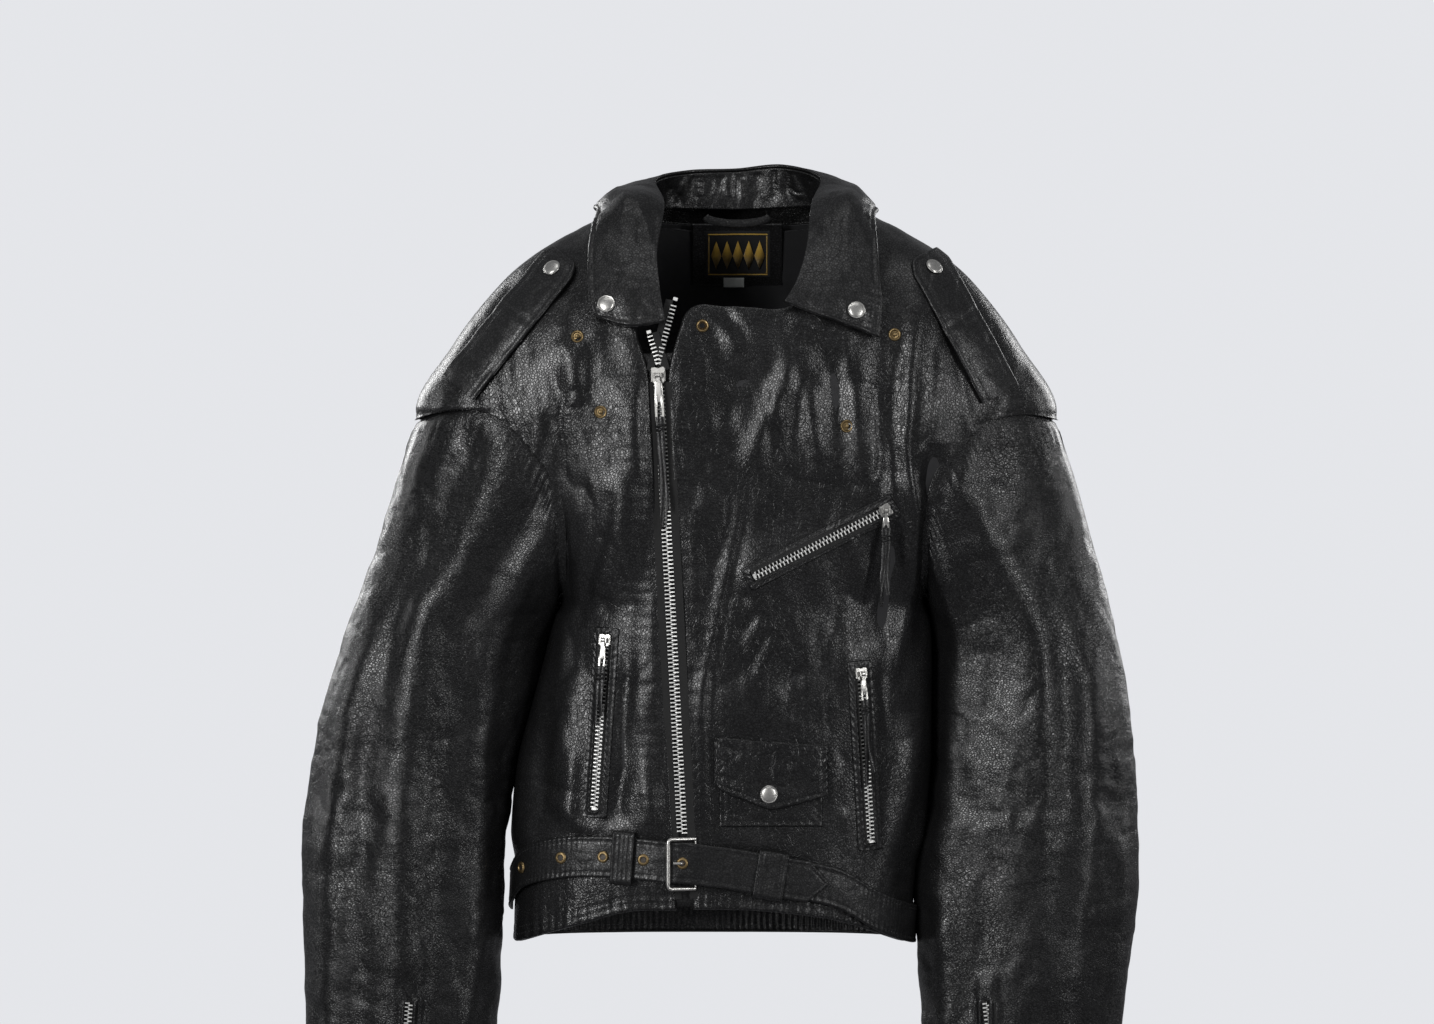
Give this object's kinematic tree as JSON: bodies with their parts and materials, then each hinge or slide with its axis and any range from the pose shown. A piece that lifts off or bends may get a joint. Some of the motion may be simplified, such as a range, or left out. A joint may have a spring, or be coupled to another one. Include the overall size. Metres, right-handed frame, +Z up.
{
  "type": "riding jacket",
  "caption": "Black leather riding jacket with an asymmetric zip, wide collar, shoulder straps, zipped pockets and cuffs, and a buckled belt.",
  "frame": {"origin": "inside the waist opening, under the middle of the neck, level with the front hem at the side seams", "axes": "+Z up, -Y to the front, +X to the wearer's left"},
  "size_m": [0.7189, 0.2133, 0.8637],
  "materials": {
    "black_leather": "smooth black cowhide, satin with creases",
    "lining_fabric": "black woven lining",
    "zip_tape": "black woven tape",
    "label_fabric": "woven label with no lettering",
    "tag_fabric": "white woven tag",
    "nickel": "worn nickel plate",
    "steel": "brushed steel",
    "antique_brass": "dull antique brass"
  },
  "bodies": {
    "shell": {"front_right_panel": "black_leather", "front_left_panel": "black_leather", "back_panel": "black_leather", "back_yoke": "black_leather", "body_lining": "lining_fabric", "hem_facing": "black_leather", "collar": "black_leather", "collar_stand": "black_leather", "collar_snaps": "nickel", "lapel_studs": "antique_brass", "label_patch": "label_fabric", "size_tag": "tag_fabric", "hang_loop": "black_leather", "main_zip_tape": "zip_tape", "main_teeth_right": "steel", "main_teeth_left": "steel", "zip_underlay": "black_leather", "pocket_welts": "black_leather", "pocket_bags": "lining_fabric", "chest_teeth": "steel", "hand_right_teeth": "steel", "hand_left_teeth": "steel", "coin_pocket": "black_leather", "coin_stud": "antique_brass", "epaulette_studs": "antique_brass", "belt_strap": "black_leather", "belt_base": "black_leather", "belt_eyelets": "antique_brass", "belt_loop": "black_leather", "buckle_prong": "nickel"},
    "sleeve_right": {"sleeve_right": "black_leather", "cuff_right_teeth": "steel"},
    "sleeve_left": {"sleeve_left": "black_leather", "cuff_left_teeth": "steel"},
    "main_slider": {"main_slider": "nickel"},
    "main_pull": {"main_pull": "nickel", "main_thong": "black_leather"},
    "chest_slider": {"chest_slider": "nickel"},
    "chest_pull": {"chest_pull": "nickel", "chest_thong": "black_leather"},
    "hand_right_slider": {"hand_right_slider": "nickel"},
    "hand_right_pull": {"hand_right_pull": "nickel", "hand_right_thong": "black_leather"},
    "hand_left_slider": {"hand_left_slider": "nickel"},
    "hand_left_pull": {"hand_left_pull": "nickel", "hand_left_thong": "black_leather"},
    "cuff_right_slider": {"cuff_right_slider": "nickel"},
    "cuff_right_pull": {"cuff_right_pull": "nickel"},
    "cuff_left_slider": {"cuff_left_slider": "nickel"},
    "cuff_left_pull": {"cuff_left_pull": "nickel"},
    "coin_flap": {"coin_flap": "black_leather", "coin_cap": "nickel"},
    "epaulette_right": {"epaulette_right": "black_leather", "epaulette_right_cap": "nickel"},
    "epaulette_left": {"epaulette_left": "black_leather", "epaulette_left_cap": "nickel"},
    "buckle_frame": {"buckle_frame": "nickel"},
    "belt_keeper": {"belt_keeper": "black_leather"}
  },
  "joints": [
    {"name": "sleeve_right_swing", "type": "hinge", "parent": "shell", "child": "sleeve_right", "pos_m": [-0.272, 0, 0.442], "axis": [0, 1, 0], "range_deg": [0, 40]},
    {"name": "sleeve_left_swing", "type": "hinge", "parent": "shell", "child": "sleeve_left", "pos_m": [0.278, 0, 0.442], "axis": [0, -1, 0], "range_deg": [0, 40]},
    {"name": "main_slide", "type": "slide", "parent": "shell", "child": "main_slider", "axis": [-0.0516, -0.0203, 0.9985], "range_m": [-0.33, 0], "deforming": ["main_thong"]},
    {"name": "main_pull_swing", "type": "hinge", "parent": "main_slider", "child": "main_pull", "pos_m": [-0.06372, -0.10824, 0.47786], "axis": [-0.9921, 0.1158, -0.0489], "range_deg": [0, 120]},
    {"name": "chest_slide", "type": "slide", "parent": "shell", "child": "chest_slider", "axis": [0.8934, 0.053, 0.4462], "range_m": [-0.1, 0]},
    {"name": "chest_pull_swing", "type": "hinge", "parent": "chest_slider", "child": "chest_pull", "pos_m": [0.12911, -0.10373, 0.36336], "axis": [-0.9966, -0.0819, 0.0082], "range_deg": [0, 120]},
    {"name": "hand_right_slide", "type": "slide", "parent": "shell", "child": "hand_right_slider", "axis": [0.0644, 0.0254, 0.9976], "range_m": [-0.118, 0]},
    {"name": "hand_right_pull_swing", "type": "hinge", "parent": "hand_right_slider", "child": "hand_right_pull", "pos_m": [-0.10996, -0.08916, 0.25408], "axis": [-0.9504, 0.3064, 0.0535], "range_deg": [0, 120]},
    {"name": "hand_left_slide", "type": "slide", "parent": "shell", "child": "hand_left_slider", "axis": [-0.0616, -0.0647, 0.996], "range_m": [-0.118, 0]},
    {"name": "hand_left_pull_swing", "type": "hinge", "parent": "hand_left_slider", "child": "hand_left_pull", "pos_m": [0.10987, -0.09346, 0.22543], "axis": [-0.941, -0.329, -0.0796], "range_deg": [0, 120]},
    {"name": "cuff_right_slide", "type": "slide", "parent": "sleeve_right", "child": "cuff_right_slider", "axis": [0.0742, -0.0508, 0.996], "range_m": [0, 0.112]},
    {"name": "cuff_right_pull_swing", "type": "hinge", "parent": "cuff_right_slider", "child": "cuff_right_pull", "pos_m": [-0.28392, -0.07162, -0.1754], "axis": [-0.9944, -0.0798, 0.07], "range_deg": [0, 120]},
    {"name": "cuff_left_slide", "type": "slide", "parent": "sleeve_left", "child": "cuff_left_slider", "axis": [-0.1321, -0.0425, 0.9903], "range_m": [0, 0.112]},
    {"name": "cuff_left_pull_swing", "type": "hinge", "parent": "cuff_left_slider", "child": "cuff_left_pull", "pos_m": [0.22953, -0.06755, -0.17559], "axis": [-0.9523, 0.2828, -0.1149], "range_deg": [0, 120]},
    {"name": "coin_flap_swing", "type": "hinge", "parent": "shell", "child": "coin_flap", "pos_m": [0.0324, -0.09821, 0.16838], "axis": [-0.9959, -0.0538, 0.0725], "range_deg": [0, 100]},
    {"name": "epaulette_right_swing", "type": "hinge", "parent": "shell", "child": "epaulette_right", "pos_m": [-0.23402, -0.06832, 0.46898], "axis": [0.6293, -0.5781, -0.5194], "range_deg": [0, 60]},
    {"name": "epaulette_left_swing", "type": "hinge", "parent": "shell", "child": "epaulette_left", "pos_m": [0.22762, -0.07786, 0.46258], "axis": [0.7879, 0.4341, 0.4368], "range_deg": [0, 60]},
    {"name": "buckle_frame_swing", "type": "hinge", "parent": "shell", "child": "buckle_frame", "pos_m": [-0.03183, -0.09705, 0.06494], "axis": [-0.0002, -0.0196, 0.9998], "range_deg": [0, 50]},
    {"name": "belt_keeper_travel", "type": "hinge", "parent": "shell", "child": "belt_keeper", "pos_m": [0.00609, 0.41261, 0.06749], "axis": [0.166, -0.0151, 0.986], "range_deg": [-2.5, 2.5]}
  ]
}
